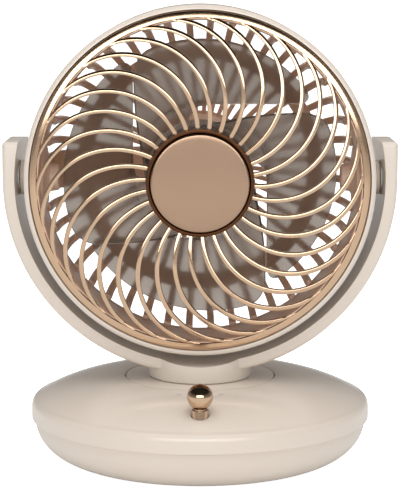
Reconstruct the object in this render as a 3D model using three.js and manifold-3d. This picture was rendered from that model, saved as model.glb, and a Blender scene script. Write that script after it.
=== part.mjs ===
// Air circulator fan: a drum-shaped head that tilts in a U-shaped yoke, on a round weighted base
// that swings the yoke from side to side. Millimetres, +Z up, the fan blows towards -Y, and the
// origin is the centre of the footprint on the table.

import * as THREE from 'three';
import { mergeVertices } from 'three/addons/utils/BufferGeometryUtils.js';
import Module from 'manifold-3d';

const wasm = await Module();
wasm.setup();

// ---------------------------------------------------------------- driving dimensions

const gap = 0.3; // between pieces that touch
const runningGap = 0.6; // between pieces that move past each other
const shellWall = 2.6;

// screws: shank and head radius, head height and shank length
const smallScrew = { shank: 1.2, head: 2.6, headHeight: 1.6, length: 7 };
const gearScrew = { ...smallScrew, length: 11 };
const neckScrew = { shank: 1.4, head: 3.2, headHeight: 1.8, length: 7 };
const motorScrew = { shank: 1.5, head: 3, headHeight: 1.8, length: 9 };
const yokeScrew = { shank: 1.4, head: 2.8, headHeight: 2, length: 24 };
const baseScrew = { shank: 1.7, head: 3.2, headHeight: 2, length: 22 };

// base
const baseRadius = 118.8;
const rimStep = 2.4; // how far the bowl's rim lies inside the cover's
const bowlWallSpread = 34.4; // width of the bowl's curved wall, seen from above
const bowlFloorHeight = 1.5;
const seamHeight = 30;
const coverRimHeight = 9.5;
const domeEdgeHeight = 42;
const domeTopHeight = 59.2;
const footRadius = 9;
const footInset = 12; // from the floor's edge to a foot's centre
const footSink = 1;
const ballastInset = 10;
const ballastHoleRadius = 20;
const ballastThickness = 10;
const baseScrewInset = 22.8; // from the base's edge to a screw's axis
const baseScrewFloor = 12; // height of the seat of a screw's head
const baseScrewSplit = 24; // height where the two bosses of a screw meet
const bossRadius = 5;
const bowlBossRadius = 6.2;

// power socket
const socketHeight = 19;
const socketInset = 10.4; // from the base's edge to the socket's outer face
const socketRadius = 5.4;
const socketFlangeRadius = 7.9;
const socketFlangeThickness = 2;
const socketLength = 15.4;
const socketBore = 3.2;
const socketPinRadius = 1;
const socketBossRadius = 12;

// turntable and swivel drive
const turntableRadius = 52.3;
const turntableThickness = 2.8;
const swivelSpace = 2.8; // under the turntable, for its washer and screw heads
const swivelHubRadius = 15;
const swivelHubBore = 9;
const bearingLength = 6.7;
const bearingWall = 3.4;
const washerInset = 4.3; // from the turntable's edge to the washer's
const gearTeeth = 48;
const pinionTeeth = 12;
const gearModule = 1.25;
const gearThickness = 5;
const gearTipRelief = 0.3;
const gearBoreRadius = 6;
const pinionShaftRadius = 2.4;
const driveMotorRadius = 14;
const driveMotorLength = 19;
const driveMotorOffset = 8; // from the pinion's axis to the motor's
const bracketThickness = 1.6;
const bracketWidth = 34;
const bracketMargin = 6; // of the bracket beyond its screws
const bracketDrop = 1.4; // from the gears down to the bracket
const bracketPostSpread = 11;
const bracketPostRadius = 4;

// knob, board and lamps
const knobInset = 21.8; // from the base's edge to the knob's axis
const knobStand = 12.1; // height of the ball's centre above the cover
const knobBallRadius = 8.7;
const knobStemRadius = 4.8;
const knobShaftRadius = 2.5;
const knobShaftShort = 3; // from the ball's centre down to the end of the shaft
const knobTravel = 0.8;
const collarWall = 0.8;
const collarStand = 3.7; // height of the collar above the cover
const collarFlangeWidth = 2;
const collarFlangeThickness = 1.6;
const encoderSide = 14;
const encoderHeight = 7.2;
const switchDepth = 1.9; // left under the click plate when it is pressed
const clickPlateThickness = 1.6;
const boardDrop = 15.7; // from the cover's outside, at the knob, down to the board
const boardThickness = 1.6;
const boardWidth = 60;
const boardMargin = 7; // of the board in front of the knob's axis
const boardTail = 8; // of the board behind the lamps
const boardPostSpread = 25;
const boardPostSetback = 5; // from the knob's axis to the posts
const boardPostRadius = 3.5;
const chipSide = 12;
const chipHeight = 3;
const capacitorRadius = 4;
const capacitorHeight = 12;
const lampSpread = 14.2;
const lampSetback = 11.7; // from the turntable's edge to the lamps
const lampRadius = 1.3;

// yoke
const headClearance = 5.6; // from the housing to the yoke, at the middle of its depth
const yokeThickness = 9.9;
const yokeDepth = 48;
const yokeArmRise = 26.6;
const yokeFlare = 0.065; // growth of the inner radius per millimetre towards the front
const yokeEdge = 3;
const yokeScrewSink = 9; // depth of a screw's counterbore in the rear half
const yokeScrewSlopes = [28, 60, 120, 152]; // degrees below the pivot axis
const neckRadius = 36.1;
const neckHeight = 4.3; // daylight between the cover and the yoke's lowest point
const neckScrewInset = 9.1;
const bushRadius = 9;
const bushLength = 7;

// head
const housingRadius = 120;
const housingWall = 2.5;
const housingFront = 35.5; // in front of the pivot axis
const housingBack = 20.4; // behind the pivot axis
const housingEdge = 3;
const frontRimWidth = 3.4;
const frontRimDepth = 7;
const rearLipWidth = 9;
const pivotBossRadius = 13;
const pivotBossRise = 0.4;
const pivotPinRadius = 6;
const pivotPinBore = 3;
const pinFlangeRadius = 9;
const pinFlangeThickness = 2.8;

// front grille
const grilleClearance = 0.5;
const grilleRingWidth = 4.8;
const grilleRingDepth = 8.5;
const grilleRingEdge = 0.8;
const ribCount = 30;
const ribWidth = 2.6;
const ribDepth = 4.6;
const ribSteps = 5;
const ribLean = 2.4; // degrees that a rib's root is turned out of its arc
const ribSink = 0.4; // of a rib's front behind the ring's
const grilleDome = 5.5; // how far the ribs bulge forward at the hub
const hubRingWidth = 2.1;
const hubRingDepth = 7;
const trayThickness = 2.4; // floor of the round tray that holds the cap
const capRadius = 33.8;
const capProud = 2; // of the cap in front of the hub ring

// rear basket
const liningWall = 2.2;
const liningStep = 1.2; // from the housing's rear lip in to the lining
const liningBack = 9;
const slatCount = 44;
const slatWidth = 4.2;
const slatDepth = 3.2;
const slatStart = 12; // behind the pivot axis
const slatSink = 0.8; // of a slat's outside in the rim
const shoulderRadius = 104.9; // where the slats turn in
const shoulderBack = 50;
const hoopRadius = 84.5;
const hoopWidth = 11;
const hoopBack = 71;
const basketBack = 88;
const basketPlateMargin = 9; // of the round back plate beyond the motor
const basketPlateThickness = 3;
const motorPlateBack = 34;
const motorPlateThickness = 3;
const towerClearance = 2; // round the motor's size, inside the tower
const towerWall = 2.5;
const webWidth = 27;
const rearCapMargin = 2;
const rearCapWall = 2;
const rearCapRise = 12;

// motor and impeller
const motorRadius = 29;
const motorFront = 10;
const motorCrownRadius = 8;
const motorCrownHeight = 3;
const motorScrewInset = 7;
const shaftRadius = 3;
const bladeCount = 4;
const tipClearance = 14.3; // from a blade's tip to the lining's narrow end
const bladeFront = 13; // in front of the pivot axis
const bladeBack = 40; // behind it
const bladeThickness = 1.8;
const bladeCamber = 3.5;
const frontOverhang = 7.7; // of a blade's front edge beyond the hub, at its tip
const frontSwing = 8.3; // that the front edge swings in at its root
const backOverhang = 10.7; // of a blade's straight back edge beyond the hub
const impellerHubClearance = 6.2; // round the motor
const impellerHubWall = 2;
const impellerNose = 11; // of the hub's face in front of the blades
const nutRadius = 7;

// ---------------------------------------------------------------- sizes that follow

const coverRimTop = seamHeight + coverRimHeight;
const bowlRimRadius = baseRadius - rimStep;
const bowlFloorRadius = bowlRimRadius - bowlWallSpread;
const baseScrewRing = baseRadius - baseScrewInset;

const turntableTop = domeTopHeight - gap;
const turntableBottom = turntableTop - turntableThickness;
const recessRadius = turntableRadius + runningGap;
const recessFloor = turntableBottom - swivelSpace;
const bearingBottom = recessFloor - bearingLength;
const gearTop = bearingBottom - runningGap;
const gearBottom = gearTop - gearThickness;
const hubScrewRing = (swivelHubRadius + swivelHubBore) / 2;
const neckScrewRing = neckRadius - neckScrewInset;
const neckScrewStart = Math.PI / 2;

const pinionReach = (gearModule * (gearTeeth + pinionTeeth)) / 2;
const driveMotorReach = pinionReach + driveMotorOffset;
const bracketTop = gearBottom - bracketDrop;
const bracketBottom = bracketTop - bracketThickness;
const besideMotor = driveMotorReach + driveMotorRadius + 5;
const besideRecess = recessRadius + shellWall + bracketPostRadius + 5;
const bracketPostReach = Math.max(besideMotor, besideRecess);

const knobReach = baseRadius - knobInset;
const coverAtKnob = domeHeight(knobReach);
const knobBallHeight = coverAtKnob + knobStand;
const collarRadius = knobStemRadius + gap + collarWall;
const boardTop = coverAtKnob - boardDrop;
const boardBottom = boardTop - boardThickness;
const boardPostReach = knobReach - boardPostSetback;
const encoderTop = boardTop + gap + encoderHeight;
const lampReach = turntableRadius + lampSetback;

const yokeInnerRadius = housingRadius + headClearance;
const yokeRadius = yokeInnerRadius + yokeThickness;
const pivotHeight = domeTopHeight + neckHeight + yokeRadius;
const pivotBossFace = housingRadius + pivotBossRise;
const bushEnd = yokeInnerRadius + bushLength;

const rimInnerRadius = housingRadius - frontRimWidth;
const rearLipRadius = housingRadius - rearLipWidth;
const grilleRingRadius = rimInnerRadius - grilleClearance;
const grilleRingInnerRadius = grilleRingRadius - grilleRingWidth;
const grilleHubRadius = capRadius + runningGap + hubRingWidth;
const hubRingFront = -housingFront - grilleDome;
const hubRingBack = hubRingFront + hubRingDepth;
const trayFloor = hubRingBack - trayThickness;

const liningBackRadius = rearLipRadius - liningStep;
const basketPlateRadius = motorRadius + basketPlateMargin;
const towerRadius = motorRadius + towerClearance + towerWall;
const motorBack = motorPlateBack - gap;
const motorNose = -motorFront - motorCrownHeight;
const motorScrewRing = motorRadius - motorScrewInset;
const impellerHubRadius = motorRadius + impellerHubClearance + impellerHubWall;
const impellerFace = -bladeFront - impellerNose;
const bladeTipRadius = liningBackRadius - tipClearance;

// Height of the cover's outside over the table, a cubic that falls from the neck to the edge.
function domeHeight(radius) {
  const share = (radius - neckRadius) / (baseRadius - neckRadius);
  return domeTopHeight - (domeTopHeight - domeEdgeHeight) * Math.max(share, 0) ** 3;
}

// ---------------------------------------------------------------- solids

// A closed body from a geometry: shared corners merged, slivers dropped, faces pointing out.
function solid(geometry) {
  geometry.deleteAttribute('normal');
  geometry.deleteAttribute('uv');
  const merged = mergeVertices(geometry, 1e-4);
  const corners = merged.attributes.position.array;
  const index = merged.index.array;
  const kept = [];
  let volume = 0;
  for (let i = 0; i < index.length; i += 3) {
    const [a, b, c] = [index[i], index[i + 1], index[i + 2]];
    if (a === b || b === c || a === c) continue;
    kept.push(a, b, c);
    const [p, q, r] = [a, b, c].map((n) => new THREE.Vector3().fromArray(corners, 3 * n));
    volume += p.dot(q.cross(r));
  }
  if (volume < 0) kept.reverse();
  return new wasm.Manifold(new wasm.Mesh({
    numProp: 3,
    vertProperties: new Float32Array(corners),
    triVerts: new Uint32Array(kept),
  }));
}

function geometryOf(body) {
  const mesh = body.getMesh();
  const geometry = new THREE.BufferGeometry();
  geometry.setAttribute('position', new THREE.BufferAttribute(new Float32Array(mesh.vertProperties), 3));
  geometry.setIndex(new THREE.BufferAttribute(new Uint32Array(mesh.triVerts), 1));
  return geometry;
}

function indexed(corners, faces) {
  const geometry = new THREE.BufferGeometry();
  geometry.setAttribute('position', new THREE.Float32BufferAttribute(corners, 3));
  geometry.setIndex(faces);
  return geometry;
}

function moved(body, x, y, z) {
  return body.translate([x, y, z]);
}

// A profile of [radius, height] points turned about Z.
function turned(profile, segments) {
  const points = profile.map(([radius, height]) => new THREE.Vector2(radius, height));
  return solid(new THREE.LatheGeometry(points, segments).rotateX(Math.PI / 2));
}

// The same about the Y axis, heights running towards +Y.
function turnedAboutY(profile, segments) {
  return turned(profile, segments).rotate([-90, 0, 0]);
}

// The same about the X axis, heights running outwards to the left (-1) or to the right (1).
function turnedAboutX(profile, segments, side) {
  return turned(profile, segments).rotate([0, side * 90, 0]);
}

function tube(outer, inner, bottom, top, segments) {
  return turned([[inner, bottom], [outer, bottom], [outer, top], [inner, top], [inner, bottom]], segments);
}

function rodProfile(radius, bottom, top) {
  return [[0, bottom], [radius, bottom], [radius, top], [0, top]];
}

function rod(radius, bottom, top, segments) {
  return turned(rodProfile(radius, bottom, top), segments);
}

function rodAboutY(radius, front, back, segments) {
  return turnedAboutY(rodProfile(radius, front, back), segments);
}

function box(width, depth, height, x, y, z) {
  return solid(new THREE.BoxGeometry(width, depth, height).translate(x, y, z));
}

// An outline of [x, y] points pulled up Z from bottom to top.
function plate(points, bottom, top) {
  const outline = new THREE.Shape(points.map(([x, y]) => new THREE.Vector2(x, y)));
  const settings = { depth: top - bottom, bevelEnabled: false };
  return solid(new THREE.ExtrudeGeometry(outline, settings).translate(0, 0, bottom));
}

function joined(...bodies) {
  return bodies.reduce((sum, body) => sum.add(body));
}

function cut(body, ...tools) {
  return tools.reduce((rest, tool) => rest.subtract(tool), body);
}

function around(count, make, start = 0) {
  return Array.from({ length: count }, (_, n) => make(start + (2 * Math.PI * n) / count, n));
}

// Places spread evenly round a circle, as [x, y].
function ring(count, radius, start = 0) {
  return around(count, (angle) => [radius * Math.cos(angle), radius * Math.sin(angle)], start);
}

// A pan-head screw along +Z, its head's top at height 0.
function screw({ shank, head, headHeight, length }) {
  const end = headHeight + length;
  return turned([[0, 0], [head, 0], [head, headHeight], [shank, headHeight], [shank, end], [0, end]], 8);
}

const mirrored = [['left', -1], ['right', 1]];

// ---------------------------------------------------------------- the assembly

const fan = new THREE.Group();
const swivelGroup = new THREE.Group();
const yokeGroup = new THREE.Group();
const headGroup = new THREE.Group();
yokeGroup.position.set(0, 0, pivotHeight);
headGroup.position.set(0, 0, pivotHeight);
swivelGroup.add(yokeGroup, headGroup);
fan.add(swivelGroup);

const finishes = {
  cream: { color: 0xe5d5c8, roughness: 0.42, metalness: 0 },
  gold: { color: 0xe0b48c, roughness: 0.3, metalness: 0.9 },
  copper: { color: 0xb88863, roughness: 0.35, metalness: 0.9 },
  brown: { color: 0x8b7061, roughness: 0.5, metalness: 0 },
  smoke: { color: 0x8b8278, roughness: 0.3, metalness: 0 },
  steel: { color: 0xa9aaac, roughness: 0.35, metalness: 0.9 },
  iron: { color: 0x4a4b4d, roughness: 0.7, metalness: 0.6 },
  rubber: { color: 0x2b2a29, roughness: 0.9, metalness: 0 },
  acetal: { color: 0xe8e6df, roughness: 0.5, metalness: 0 },
  black: { color: 0x1d1c1b, roughness: 0.6, metalness: 0 },
  green: { color: 0x1f5a3a, roughness: 0.5, metalness: 0 },
  clear: { color: 0xf4efe6, roughness: 0.15, metalness: 0 },
};

function add(parent, name, body, finish) {
  const mesh = new THREE.Mesh(geometryOf(body), new THREE.MeshStandardMaterial(finishes[finish]));
  mesh.name = name;
  parent.add(mesh);
}

// ---------------------------------------------------------------- base bowl

const baseScrewSpots = ring(4, baseScrewRing, Math.PI / 4);
const footSpots = ring(4, bowlFloorRadius - footInset);
const socketFace = baseRadius - socketInset;

// Quarter-ellipse wall of the bowl, from its floor out and up to the seam.
function bowlCurve(offset, steps) {
  const points = [];
  for (let n = 0; n <= steps; n += 1) {
    const angle = (Math.PI / 2) * (1 - n / steps);
    const radius = bowlFloorRadius + (bowlWallSpread - offset) * Math.cos(angle);
    const height = seamHeight - (seamHeight - bowlFloorHeight - offset) * Math.sin(angle);
    points.push([radius, height]);
  }
  return points;
}

function baseBowl() {
  const outer = bowlCurve(0, 5);
  const inner = bowlCurve(shellWall, 3).reverse();
  const shell = turned([[0, bowlFloorHeight], ...outer, ...inner, [0, bowlFloorHeight + shellWall]], 40);
  const filled = turned([[0, bowlFloorHeight], ...outer, [0, seamHeight]], 40);
  const socketBoss = moved(rodAboutY(socketBossRadius, socketFace - 10, baseRadius, 16), 0, 0, socketHeight);
  const bosses = baseScrewSpots.map(([x, y]) => moved(rod(bowlBossRadius, 0, baseScrewSplit, 10), x, y, 0));
  const body = joined(shell, ...[socketBoss, ...bosses].map((boss) => boss.intersect(filled)));

  const heads = baseScrewSpots.map(([x, y]) => moved(rod(baseScrew.head + gap,
    0, baseScrewFloor, 8), x, y, 0));
  const shanks = baseScrewSpots.map(([x, y]) => moved(rod(baseScrew.shank + gap, 0, seamHeight, 6), x, y, 0));
  const seats = footSpots.map(([x, y]) => moved(rod(footRadius + gap,
    0, bowlFloorHeight + footSink, 14), x, y, 0));
  const pocketBack = socketFace - socketFlangeThickness - gap - 0.1;
  const bore = moved(turnedAboutY([
    [0, pocketBack - socketLength],
    [socketRadius + gap + 0.1, pocketBack - socketLength],
    [socketRadius + gap + 0.1, pocketBack],
    [socketFlangeRadius + gap + 0.1, pocketBack],
    [socketFlangeRadius + gap + 0.1, baseRadius + 6],
    [0, baseRadius + 6],
  ], 20), 0, 0, socketHeight);
  return cut(body, ...heads, ...shanks, ...seats, bore);
}
add(fan, 'base_bowl', baseBowl(), 'cream');

function ballastPlate() {
  const bottom = bowlFloorHeight + shellWall + gap;
  return tube(bowlFloorRadius - ballastInset, ballastHoleRadius, bottom, bottom + ballastThickness, 28);
}
add(fan, 'ballast_plate', ballastPlate(), 'iron');

footSpots.forEach(([x, y], n) => {
  const seat = bowlFloorHeight + footSink - gap;
  const foot = turned([[0, 0], [footRadius - 1, 0], [footRadius, 1], [footRadius, seat], [0, seat]], 18);
  add(fan, `foot_${n + 1}`, moved(foot, x, y, 0), 'rubber');
});

baseScrewSpots.forEach(([x, y], n) => {
  const head = baseScrewFloor - baseScrew.headHeight - gap;
  add(fan, `base_screw_${n + 1}`, moved(screw(baseScrew), x, y, head), 'steel');
});

function powerSocket() {
  const flange = socketFace - socketFlangeThickness;
  const inside = socketFace - socketLength;
  const sleeve = turnedAboutY([
    [socketBore, inside], [socketRadius, inside], [socketRadius, flange], [socketFlangeRadius, flange],
    [socketFlangeRadius, socketFace], [socketBore, socketFace], [socketBore, inside],
  ], 20);
  const end = rodAboutY(socketRadius, inside - 1.5, inside + 0.5, 20);
  const pin = rodAboutY(socketPinRadius, inside - 1, socketFace - 1.4, 12);
  return moved(joined(sleeve, end, pin), 0, 0, socketHeight);
}
add(fan, 'power_socket', powerSocket(), 'black');

// ---------------------------------------------------------------- base cover

// A hollow post that hangs from the cover down to a piece that is screwed to it.
function post(x, y, radius, bottom) {
  const top = domeHeight(Math.hypot(x, y) + radius) - shellWall / 2;
  return moved(rod(radius, bottom, top, 6), x, y, 0);
}

// The cover: a shallow dome with a vertical rim, sunk in the middle for the turntable.
function coverShell() {
  const rim = seamHeight + runningGap;
  const domeSteps = 5;
  const domeStart = baseRadius - 3.2;
  const outer = [[baseRadius, rim], [baseRadius, coverRimTop - 1.5], [baseRadius - 0.9, coverRimTop + 1.6]];
  const inner = [];
  for (let n = 0; n <= domeSteps; n += 1) {
    const radius = domeStart + (recessRadius - domeStart) * (n / domeSteps);
    outer.push([radius, domeHeight(radius)]);
    inner.push([radius, domeHeight(radius) - shellWall]);
  }
  const underDome = inner.filter(([radius]) => radius > recessRadius + shellWall + 1).reverse();
  return turned([
    ...outer,
    [recessRadius, recessFloor],
    [swivelHubRadius + runningGap, recessFloor],
    [swivelHubRadius + runningGap, bearingBottom],
    [swivelHubRadius + runningGap + bearingWall, bearingBottom],
    [swivelHubRadius + runningGap + bearingWall, recessFloor - shellWall],
    [recessRadius + shellWall, recessFloor - shellWall],
    ...underDome,
    [baseRadius - shellWall, coverRimTop - 3],
    [baseRadius - shellWall, rim],
    outer[0],
  ], 40);
}

function baseCover() {
  const posts = baseScrewSpots.map(([x, y]) => post(x, y, bossRadius, baseScrewSplit + gap));
  const screwTop = baseScrewFloor + baseScrew.length + 9;
  const holes = baseScrewSpots.map(([x, y]) => moved(rod(baseScrew.shank + gap, 20, screwTop, 6), x, y, 0));
  for (const [, side] of mirrored) {
    const [bracketX, bracketY] = [bracketPostReach, side * bracketPostSpread];
    const [boardX, boardY] = [side * boardPostSpread, -boardPostReach];
    posts.push(post(bracketX, bracketY, bracketPostRadius, bracketTop + gap));
    posts.push(post(boardX, boardY, boardPostRadius, boardTop + gap));
    holes.push(moved(rod(smallScrew.shank + gap, seamHeight, bracketTop + 9, 6), bracketX, bracketY, 0));
    holes.push(moved(rod(smallScrew.shank + gap, seamHeight, boardTop + 9, 6), boardX, boardY, 0));
    holes.push(moved(rod(lampRadius + gap, boardTop, domeTopHeight, 10), side * lampSpread, -lampReach, 0));
  }
  holes.push(moved(rod(collarRadius + gap, boardTop, domeTopHeight, 20), 0, -knobReach, 0));
  return cut(joined(coverShell(), ...posts), ...holes);
}
add(fan, 'base_cover', baseCover(), 'cream');

// ---------------------------------------------------------------- board, knob and lamps

function controlBoard() {
  const front = knobReach + boardMargin;
  const back = lampReach - boardTail;
  const middle = (boardTop + boardBottom) / 2;
  const body = box(boardWidth, front - back, boardThickness, 0, -(front + back) / 2, middle);
  const holes = mirrored.map(([, side]) => moved(rod(smallScrew.shank + gap, seamHeight, boardTop + 9, 8),
    side * boardPostSpread, -boardPostReach, 0));
  const chip = box(chipSide, chipSide, chipHeight, lampSpread, -lampReach - chipSide, boardBottom - 1.4);
  const capacitor = moved(rod(capacitorRadius, boardTop - 1 - capacitorHeight, boardTop - 1, 16),
    -lampSpread, -lampReach - 2 * capacitorRadius, 0);
  return joined(cut(body, ...holes), chip, capacitor);
}
add(fan, 'control_board', controlBoard(), 'green');

mirrored.forEach(([, side], n) => {
  const head = boardBottom - smallScrew.headHeight - gap;
  const body = moved(screw(smallScrew), side * boardPostSpread, -boardPostReach, head);
  add(fan, `board_screw_${n + 1}`, body, 'steel');
});

function encoderBody() {
  const wellDepth = gap + clickPlateThickness + knobTravel + switchDepth;
  const body = box(encoderSide, encoderSide, encoderHeight, 0, -knobReach, encoderTop - encoderHeight / 2);
  const well = rod(knobStemRadius + runningGap, encoderTop - wellDepth, encoderTop + 1, 24);
  return body.subtract(moved(well, 0, -knobReach, 0));
}
add(fan, 'encoder_body', encoderBody(), 'black');

function knobCollar() {
  const bore = knobStemRadius + gap;
  const foot = encoderTop + gap;
  const flange = collarRadius + collarFlangeWidth;
  const flangeTop = foot + collarFlangeThickness;
  const top = coverAtKnob + collarStand;
  return moved(turned([
    [bore, foot], [flange, foot], [flange, flangeTop], [collarRadius, flangeTop],
    [collarRadius, top - 0.5], [collarRadius - 0.5, top], [bore, top], [bore, foot],
  ], 20), 0, -knobReach, 0);
}
add(fan, 'knob_collar', knobCollar(), 'gold');

const clickPlate = rod(knobStemRadius, encoderTop - gap - clickPlateThickness, encoderTop - gap, 20);
add(fan, 'click_plate', moved(clickPlate, 0, -knobReach, 0), 'acetal');

// A shaft with a thicker stem in the collar, whose shoulder carries the ball.
const knobShaftTop = knobBallHeight - knobShaftShort;
const ballFootAngle = Math.asin(knobStemRadius / knobBallRadius);
const ballFoot = knobBallHeight - knobBallRadius * Math.cos(ballFootAngle);

function knobShaft() {
  const stemBottom = coverAtKnob - shellWall;
  const shoulder = ballFoot - gap;
  return moved(turned([
    [0, encoderTop], [knobShaftRadius, encoderTop], [knobShaftRadius, stemBottom],
    [knobStemRadius, stemBottom], [knobStemRadius, shoulder], [knobShaftRadius, shoulder],
    [knobShaftRadius, knobShaftTop], [0, knobShaftTop],
  ], 20), 0, -knobReach, 0);
}
add(fan, 'knob_shaft', knobShaft(), 'gold');

function knobBall() {
  const steps = 6;
  const bore = knobShaftRadius + gap;
  const profile = [[bore, ballFoot]];
  for (let n = 0; n <= steps; n += 1) {
    const angle = ballFootAngle + (Math.PI - ballFootAngle) * (n / steps);
    const radius = n === steps ? 0 : knobBallRadius * Math.sin(angle);
    profile.push([radius, knobBallHeight - knobBallRadius * Math.cos(angle)]);
  }
  profile.push([0, knobShaftTop + gap], [bore, knobShaftTop + gap], profile[0]);
  return moved(turned(profile, 20), 0, -knobReach, 0);
}
add(fan, 'knob_ball', knobBall(), 'gold');

for (const [name, side] of mirrored) {
  const top = domeHeight(Math.hypot(lampSpread, lampReach)) + 0.1;
  const pipe = moved(rod(lampRadius, boardTop + gap, top, 16), side * lampSpread, -lampReach, 0);
  add(fan, `lamp_pipe_${name}`, pipe, 'clear');
}

// ---------------------------------------------------------------- turntable and swivel drive

const hubScrewSpots = ring(2, hubScrewRing);
const neckScrewSpots = ring(3, neckScrewRing, neckScrewStart);

function turntable() {
  const hubBottom = gearTop + gap;
  const body = turned([
    [swivelHubBore, hubBottom], [swivelHubRadius, hubBottom], [swivelHubRadius, turntableBottom],
    [turntableRadius, turntableBottom], [turntableRadius, turntableTop - 0.7],
    [turntableRadius - 0.7, turntableTop], [swivelHubBore, turntableTop], [swivelHubBore, hubBottom],
  ], 40);
  const gearHoles = hubScrewSpots.map(([x, y]) => moved(rod(gearScrew.shank + gap,
    gearBottom, gearTop + 8, 8), x, y, 0));
  const neckHoles = neckScrewSpots.map(([x, y]) => moved(rod(neckScrew.shank + runningGap,
    recessFloor, domeTopHeight, 8), x, y, 0));
  return cut(body, ...gearHoles, ...neckHoles);
}
add(swivelGroup, 'turntable', turntable(), 'cream');

const swivelWasher = tube(turntableRadius - washerInset, neckScrewRing + neckScrew.head + 3.8,
  recessFloor + gap, turntableBottom - gap, 24);
add(fan, 'swivel_washer', swivelWasher, 'acetal');

// Straight-flanked teeth: root, flank, tip and flank again for each tooth.
function gearOutline(teeth) {
  const pitch = (gearModule * teeth) / 2;
  const tip = pitch + gearModule - gearTipRelief;
  const root = pitch - 1.25 * gearModule;
  const points = [];
  for (let n = 0; n < teeth; n += 1) {
    for (const [share, radius] of [[-0.33, root], [-0.11, tip], [0.11, tip], [0.33, root]]) {
      const angle = (2 * Math.PI * (n + share)) / teeth;
      points.push([radius * Math.cos(angle), radius * Math.sin(angle)]);
    }
  }
  return points;
}

function swivelGear() {
  const halfTooth = 180 / gearTeeth;
  const wheel = plate(gearOutline(gearTeeth), gearBottom, gearTop).rotate([0, 0, halfTooth]);
  const spigot = tube(swivelHubBore - gap, gearBoreRadius, gearBottom, gearTop + 6, 20);
  const bore = rod(gearBoreRadius, gearBottom - 1, gearTop + 7, 20);
  const holes = hubScrewSpots.map(([x, y]) => moved(rod(gearScrew.shank + gap,
    gearBottom - 1, gearTop + 7, 8), x, y, 0));
  return cut(joined(wheel, spigot), bore, ...holes);
}
add(swivelGroup, 'swivel_gear', swivelGear(), 'acetal');

hubScrewSpots.forEach(([x, y], n) => {
  const head = gearBottom - gearScrew.headHeight - gap;
  add(swivelGroup, `gear_screw_${n + 1}`, moved(screw(gearScrew), x, y, head), 'steel');
});

function drivePinion() {
  const wheel = plate(gearOutline(pinionTeeth), gearBottom, gearTop);
  const shaft = rod(pinionShaftRadius, bracketBottom, gearBottom + 1, 20);
  return moved(joined(wheel, shaft), pinionReach, 0, 0);
}
add(fan, 'drive_pinion', drivePinion(), 'acetal');

const driveMotor = rod(driveMotorRadius, bracketBottom - gap - driveMotorLength, bracketBottom - gap, 24);
add(fan, 'drive_motor', moved(driveMotor, driveMotorReach, 0, 0), 'steel');

function motorBracket() {
  const near = pinionReach - 10;
  const far = bracketPostReach + bracketMargin;
  const middle = bracketTop - bracketThickness / 2;
  const body = box(far - near, bracketWidth, bracketThickness, (near + far) / 2, 0, middle);
  const window = moved(rod(pinionShaftRadius + runningGap, seamHeight, gearBottom, 20), pinionReach, 0, 0);
  const holes = mirrored.map(([, side]) => moved(rod(smallScrew.shank + gap, seamHeight, gearBottom, 8),
    bracketPostReach, side * bracketPostSpread, 0));
  return cut(body, window, ...holes);
}
add(fan, 'motor_bracket', motorBracket(), 'steel');

mirrored.forEach(([, side], n) => {
  const head = bracketBottom - smallScrew.headHeight - gap;
  const body = moved(screw(smallScrew), bracketPostReach, side * bracketPostSpread, head);
  add(fan, `bracket_screw_${n + 1}`, body, 'steel');
});

// ---------------------------------------------------------------- yoke

const neckBottom = domeTopHeight - pivotHeight;
const neckTop = 12 - yokeInnerRadius; // inside the head's space, which trims it

// Upright outline of the yoke: half a disc below the pivot and a band above it, in x and z.
function yokeOutline(inset) {
  const radius = yokeRadius - inset;
  const shape = new THREE.Shape();
  shape.moveTo(radius, yokeArmRise - inset);
  shape.lineTo(radius, 0);
  shape.absarc(0, 0, radius, 0, -Math.PI, true);
  shape.lineTo(-radius, yokeArmRise - inset);
  shape.closePath();
  return shape;
}

function yokeBlock(inset, edge) {
  const depth = yokeDepth - 2 * inset;
  const geometry = new THREE.ExtrudeGeometry(yokeOutline(inset), {
    depth: depth - 2 * edge,
    curveSegments: 18,
    bevelEnabled: edge > 0,
    bevelSegments: 2,
    bevelSize: edge,
    bevelThickness: edge,
    bevelOffset: -edge,
  });
  geometry.translate(0, 0, -(depth - 2 * edge) / 2).rotateX(Math.PI / 2);
  return solid(geometry);
}

// The bowl-like space that the head turns in, wider towards the front.
function headSpace(inset) {
  const reach = yokeDepth;
  const front = yokeInnerRadius + yokeFlare * reach + inset;
  const back = yokeInnerRadius - yokeFlare * reach + inset;
  return turnedAboutY([[0, -reach], [front, -reach], [back, reach], [0, reach]], 72);
}

function neckColumn(inset, floor) {
  return rod(neckRadius - inset, neckBottom + floor, neckTop, 36);
}

const yokeScrewSpots = yokeScrewSlopes.map((slope) => {
  const angle = -THREE.MathUtils.degToRad(slope);
  const middle = (yokeRadius + yokeInnerRadius) / 2;
  return [middle * Math.cos(angle), middle * Math.sin(angle)];
});

// Both halves in one: hollow, but solid round the pivot bushes and the screws.
function wholeYoke() {
  const neckFloor = 4;
  const screwPillar = 9;
  const bushPad = 2 * (bushRadius + 4);
  const outside = joined(yokeBlock(0, yokeEdge), neckColumn(0, 0)).subtract(headSpace(0));
  const hollow = joined(yokeBlock(shellWall, 0), neckColumn(shellWall, neckFloor));
  const space = hollow.subtract(headSpace(shellWall));
  const padWidth = 2 * yokeThickness + 1;
  const pads = mirrored.map(([, side]) => box(padWidth, yokeDepth, bushPad, side * yokeInnerRadius, 0, 0));
  const pillars = yokeScrewSpots.map(([x, z]) => box(screwPillar, yokeDepth, screwPillar, x, 0, z));
  const bores = mirrored.map(([, side]) => turnedAboutX(
    rodProfile(bushRadius + gap, yokeInnerRadius - 25, bushEnd), 16, side));
  const holes = neckScrewSpots.map(([x, y]) => moved(rod(neckScrew.shank + gap,
    neckBottom - 1, neckBottom + 9, 8), x, y, 0));
  return cut(outside, cut(space, ...pads, ...pillars), ...bores, ...holes);
}

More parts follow.
